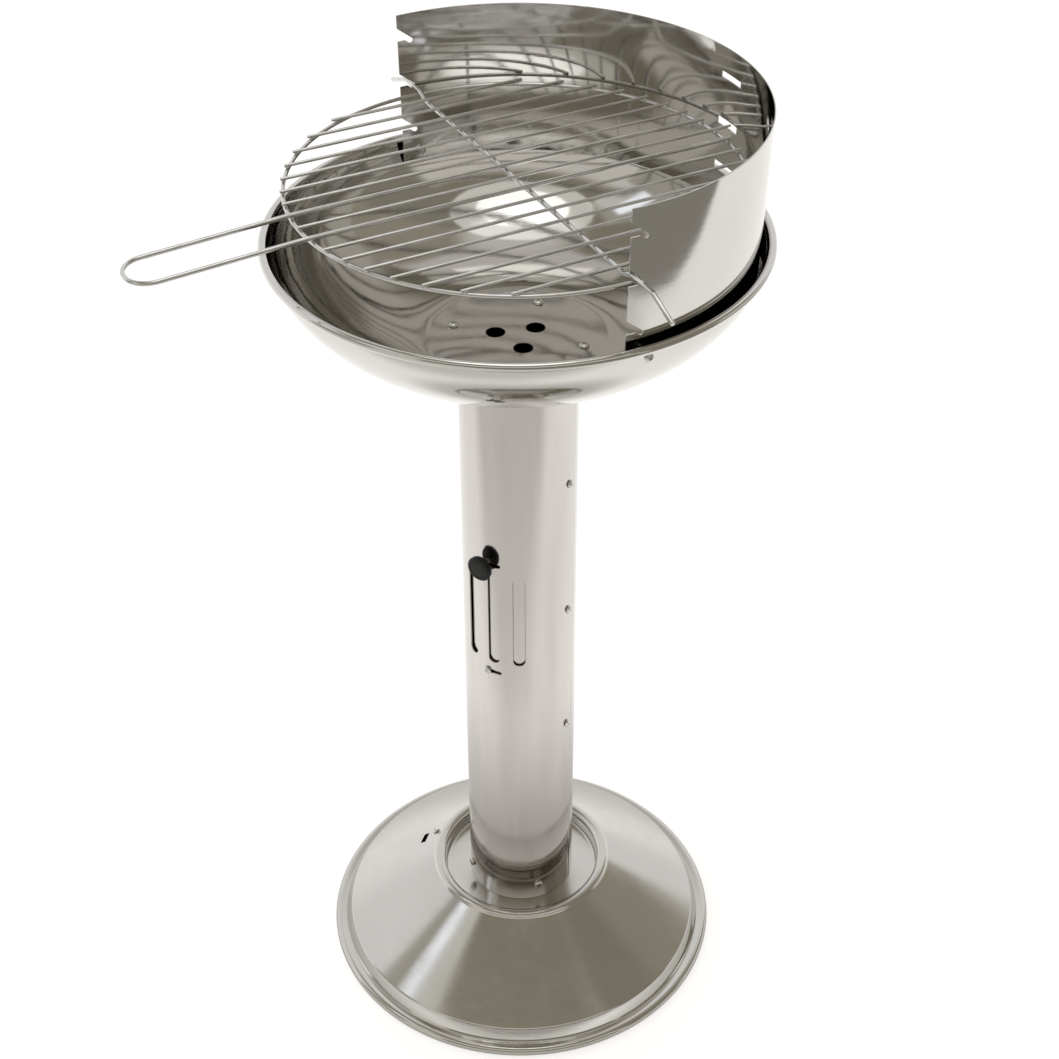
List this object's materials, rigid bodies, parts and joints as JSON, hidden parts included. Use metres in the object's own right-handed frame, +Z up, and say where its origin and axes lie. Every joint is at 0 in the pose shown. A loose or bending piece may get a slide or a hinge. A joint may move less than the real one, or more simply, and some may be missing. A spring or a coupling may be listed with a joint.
{
  "type": "charcoal barbecue",
  "caption": "Charcoal barbecue on a pillar: cone foot, round column with a turning air vent, fire bowl, half-round wind shield and a wire grate with a handle that lifts to other notches.",
  "frame": {"origin": "on the floor, under the middle of the bounding box", "axes": "+Z up; the grate's handle points to -X and the wind shield stands on the +X side; Y runs along the grate's cross bar"},
  "size_m": [0.576, 0.5176, 0.983],
  "materials": {
    "mirror_steel": "mirror-polished stainless sheet",
    "column_steel": "polished stainless sheet",
    "brushed_steel": "satin stainless sheet, brushed round the axis",
    "chrome_wire": "bright plated wire",
    "zinc_screw": "plain plated fasteners",
    "black_plastic": "moulded, satin"
  },
  "bodies": {
    "stand": {"fire_bowl": "mirror_steel", "wind_shield": "mirror_steel", "column_tube": "column_steel", "foot_cone": "brushed_steel", "column_top_ring": "brushed_steel", "foot_screw_1": "zinc_screw", "foot_screw_2": "zinc_screw", "foot_screw_3": "zinc_screw", "foot_screw_4": "zinc_screw", "foot_slot_screw": "zinc_screw", "foot_slot_nut": "zinc_screw", "seam_screw_1": "zinc_screw", "seam_screw_2": "zinc_screw", "seam_screw_3": "zinc_screw", "top_screw_1": "zinc_screw", "top_screw_2": "zinc_screw", "top_screw_3": "zinc_screw", "top_screw_4": "zinc_screw", "bowl_bolt_1": "zinc_screw", "bowl_bolt_2": "zinc_screw", "bowl_bolt_3": "zinc_screw", "bowl_bolt_4": "zinc_screw", "bowl_nut_1": "zinc_screw", "bowl_nut_2": "zinc_screw", "bowl_nut_3": "zinc_screw", "bowl_nut_4": "zinc_screw", "shield_screw_1": "zinc_screw", "shield_screw_2": "zinc_screw", "shield_nut_1": "zinc_screw", "shield_nut_2": "zinc_screw", "shield_spacer_1": "zinc_screw", "shield_spacer_2": "zinc_screw"},
    "vent": {"vent_sleeve": "brushed_steel", "vent_knob": "black_plastic", "vent_knob_bolt": "zinc_screw", "vent_knob_nut": "zinc_screw", "vent_guide_screw": "zinc_screw", "vent_guide_nut": "zinc_screw"},
    "grate": {"grate_ring": "chrome_wire", "grate_cross_bar": "chrome_wire", "grate_handle": "chrome_wire", "grate_rod_1": "chrome_wire", "grate_rod_2": "chrome_wire", "grate_rod_3": "chrome_wire", "grate_rod_4": "chrome_wire", "grate_rod_5": "chrome_wire", "grate_rod_6": "chrome_wire", "grate_rod_7": "chrome_wire", "grate_rod_8": "chrome_wire", "grate_rod_9": "chrome_wire", "grate_rod_10": "chrome_wire", "grate_rod_11": "chrome_wire", "grate_rod_12": "chrome_wire", "grate_rod_13": "chrome_wire", "grate_rod_14": "chrome_wire", "grate_rod_15": "chrome_wire"}
  },
  "joints": [
    {"name": "vent_turn", "type": "hinge", "parent": "stand", "child": "vent", "pos_m": [0.063, 0, 0.459], "axis": [0, 0, 1], "range_deg": [0, 12.9]},
    {"name": "grate_lift", "type": "slide", "parent": "stand", "child": "grate", "axis": [-0.788, 0, 0.6157], "range_m": [0, 0.12]}
  ]
}
